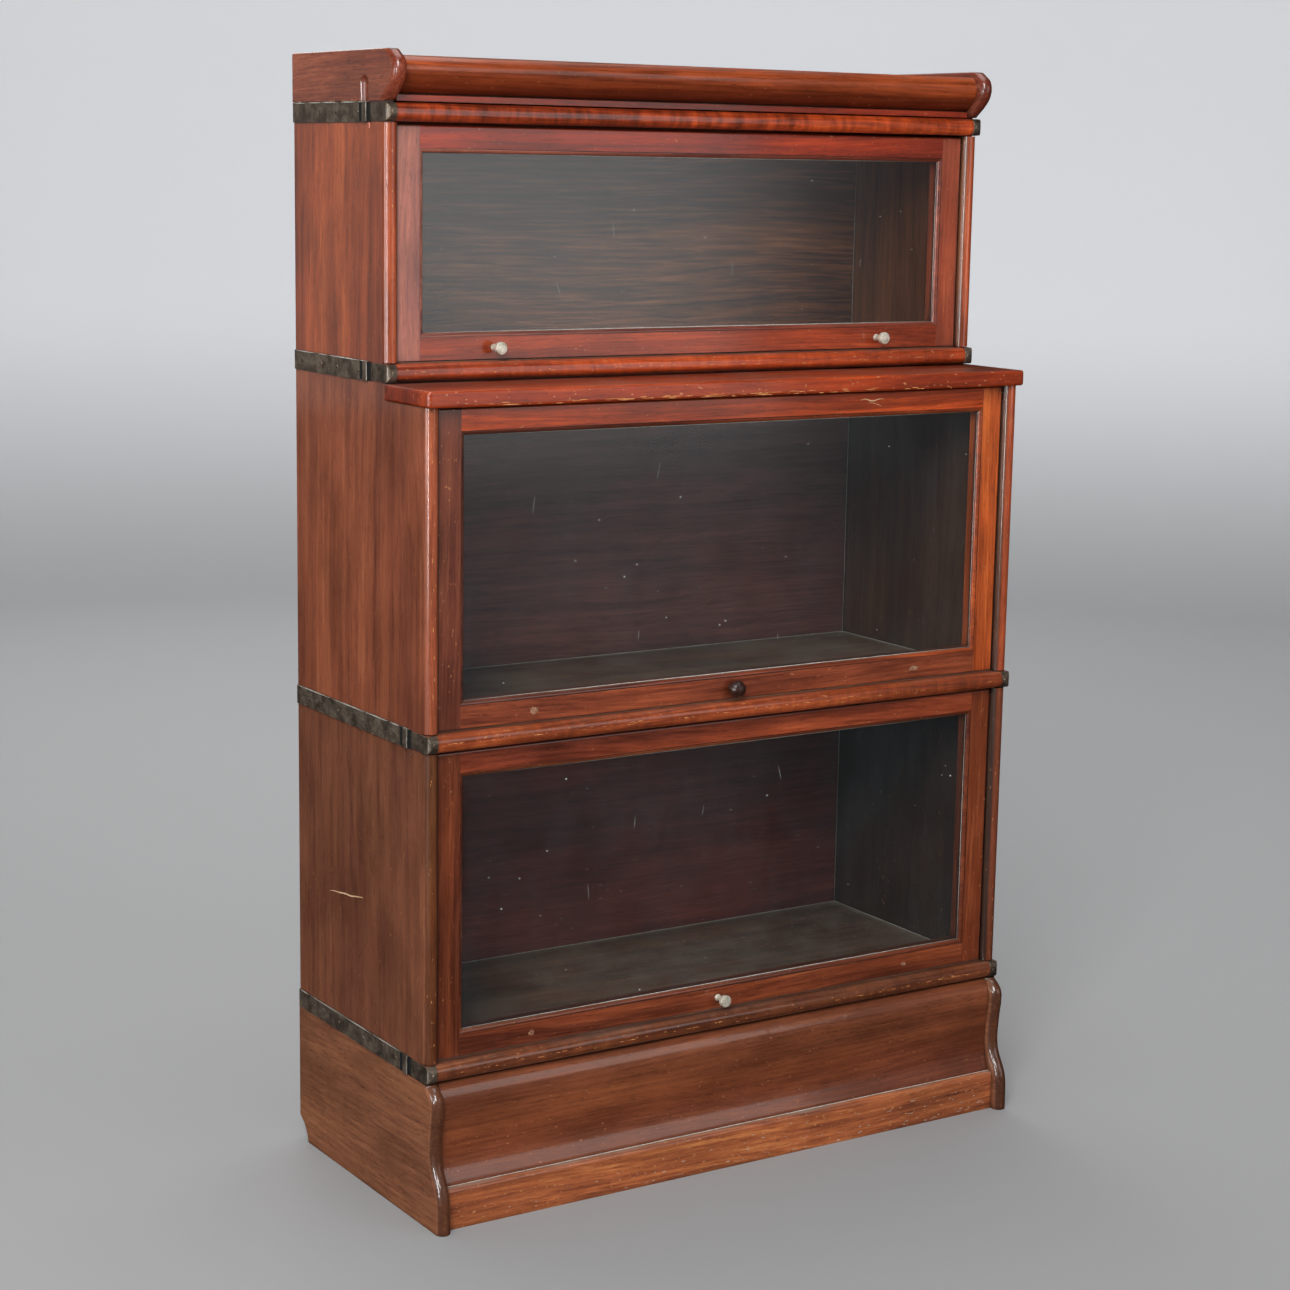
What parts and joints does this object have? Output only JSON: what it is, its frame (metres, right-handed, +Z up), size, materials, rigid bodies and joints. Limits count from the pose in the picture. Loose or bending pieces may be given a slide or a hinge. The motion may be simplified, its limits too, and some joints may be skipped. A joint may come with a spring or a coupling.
{
  "type": "sectional barrister bookcase",
  "caption": "Stacking glazed bookcase on an ogee base: doors lift on end pins and recede under the shelf above, a shallow section over deep ones, ledge, cornice and steel joint bands.",
  "frame": {"origin": "middle of the bounding box on the floor", "axes": "+X to the right seen from the front, -Y out of the front, +Z up"},
  "size_m": [0.8722, 0.3816, 1.373],
  "materials": {
    "mahogany_side": "aged satin lacquer, vertical grain",
    "mahogany_door": "aged satin lacquer",
    "mahogany_rail": "aged satin lacquer, worn edges",
    "mahogany_base": "dark satin lacquer, worn foot",
    "mahogany_inside": "dull stain, dusty",
    "carriage_wood": "plain stained hardwood",
    "old_glass": "clear, dusty",
    "band_steel": "dark patina",
    "runner_steel": "dull grey",
    "knob_nickel": "worn nickel",
    "knob_wood": "dark brown polished"
  },
  "bodies": {
    "carcass": {"lower_side_left": "mahogany_side", "lower_side_right": "mahogany_side", "lower_back": "mahogany_inside", "lower_shelf": "mahogany_inside", "lower_front_rail": "mahogany_rail", "lower_runners": "runner_steel", "middle_side_left": "mahogany_side", "middle_side_right": "mahogany_side", "middle_back": "mahogany_inside", "middle_shelf": "mahogany_inside", "middle_front_rail": "mahogany_rail", "middle_runners": "runner_steel", "top_side_left": "mahogany_side", "top_side_right": "mahogany_side", "top_back": "mahogany_inside", "top_shelf": "mahogany_inside", "top_front_rail": "mahogany_rail", "top_runners": "runner_steel", "ledge_board": "mahogany_rail", "base_side_left": "mahogany_base", "base_side_right": "mahogany_base", "base_front_board": "mahogany_base", "base_plinth": "mahogany_base", "base_back_rail": "mahogany_inside", "cornice_sides": "mahogany_side", "cornice_back_strip": "mahogany_inside", "cornice_moulding": "mahogany_rail", "cornice_top_board": "mahogany_side", "cornice_soffit": "mahogany_inside", "cornice_rail": "mahogany_rail", "bands": "band_steel", "corner_clips": "band_steel", "band_fixings": "band_steel"},
    "lower_door": {"lower_door_stiles": "mahogany_door", "lower_door_rails": "mahogany_door", "lower_door_glass": "old_glass", "lower_door_beads": "mahogany_door", "lower_door_knobs": "knob_nickel", "lower_door_pins": "runner_steel"},
    "lower_carriage": {"lower_carriage": "carriage_wood"},
    "lower_lever_low": {"lower_lever_low": "runner_steel"},
    "lower_lever_high": {"lower_lever_high": "runner_steel"},
    "middle_door": {"middle_door_stiles": "mahogany_door", "middle_door_rails": "mahogany_door", "middle_door_glass": "old_glass", "middle_door_beads": "mahogany_door", "middle_door_knobs": "knob_wood", "middle_door_pins": "runner_steel"},
    "middle_carriage": {"middle_carriage": "carriage_wood"},
    "middle_lever_low": {"middle_lever_low": "runner_steel"},
    "middle_lever_high": {"middle_lever_high": "runner_steel"},
    "top_door": {"top_door_stiles": "mahogany_door", "top_door_rails": "mahogany_door", "top_door_glass": "old_glass", "top_door_beads": "mahogany_door", "top_door_knobs": "knob_nickel", "top_door_pins": "runner_steel"},
    "top_carriage": {"top_carriage": "carriage_wood"},
    "top_lever_low": {"top_lever_low": "runner_steel"},
    "top_lever_high": {"top_lever_high": "runner_steel"}
  },
  "joints": [
    {"name": "lower_recede", "type": "slide", "parent": "carcass", "child": "lower_carriage", "axis": [0, 1, 0], "range_m": [0, 0.2733]},
    {"name": "lower_lift", "type": "hinge", "parent": "lower_carriage", "child": "lower_door", "pos_m": [0, -0.13575, 0.559], "axis": [-1, 0, 0], "range_deg": [0, 90]},
    {"name": "lower_lever_low_turn", "type": "hinge", "parent": "carcass", "child": "lower_lever_low", "pos_m": [-0.404, 0.17075, 0.559], "axis": [0, 0, 1], "range_deg": [0, 20.24]},
    {"name": "lower_lever_high_turn", "type": "hinge", "parent": "carcass", "child": "lower_lever_high", "pos_m": [0.404, 0.17075, 0.559], "axis": [0, 0, -1], "range_deg": [0, 20.24]},
    {"name": "middle_recede", "type": "slide", "parent": "carcass", "child": "middle_carriage", "axis": [0, 1, 0], "range_m": [0, 0.2733]},
    {"name": "middle_lift", "type": "hinge", "parent": "middle_carriage", "child": "middle_door", "pos_m": [0, -0.13575, 0.959], "axis": [-1, 0, 0], "range_deg": [0, 90]},
    {"name": "middle_lever_low_turn", "type": "hinge", "parent": "carcass", "child": "middle_lever_low", "pos_m": [-0.404, 0.17075, 0.959], "axis": [0, 0, 1], "range_deg": [0, 20.24]},
    {"name": "middle_lever_high_turn", "type": "hinge", "parent": "carcass", "child": "middle_lever_high", "pos_m": [0.404, 0.17075, 0.959], "axis": [0, 0, -1], "range_deg": [0, 20.24]},
    {"name": "top_recede", "type": "slide", "parent": "carcass", "child": "top_carriage", "axis": [0, 1, 0], "range_m": [0, 0.1713]},
    {"name": "top_lift", "type": "hinge", "parent": "top_carriage", "child": "top_door", "pos_m": [0, -0.03375, 1.2755], "axis": [-1, 0, 0], "range_deg": [0, 90]},
    {"name": "top_lever_low_turn", "type": "hinge", "parent": "carcass", "child": "top_lever_low", "pos_m": [-0.404, 0.17075, 1.2755], "axis": [0, 0, 1], "range_deg": [0, 12.52]},
    {"name": "top_lever_high_turn", "type": "hinge", "parent": "carcass", "child": "top_lever_high", "pos_m": [0.404, 0.17075, 1.2755], "axis": [0, 0, -1], "range_deg": [0, 12.52]}
  ],
  "couplings": [
    {"joint": "lower_lever_low_turn", "follows": "lower_recede", "rad_per_m": 1.2925},
    {"joint": "lower_lever_high_turn", "follows": "lower_recede", "rad_per_m": 1.2925},
    {"joint": "middle_lever_low_turn", "follows": "middle_recede", "rad_per_m": 1.2925},
    {"joint": "middle_lever_high_turn", "follows": "middle_recede", "rad_per_m": 1.2925},
    {"joint": "top_lever_low_turn", "follows": "top_recede", "rad_per_m": 1.276},
    {"joint": "top_lever_high_turn", "follows": "top_recede", "rad_per_m": 1.276}
  ]
}
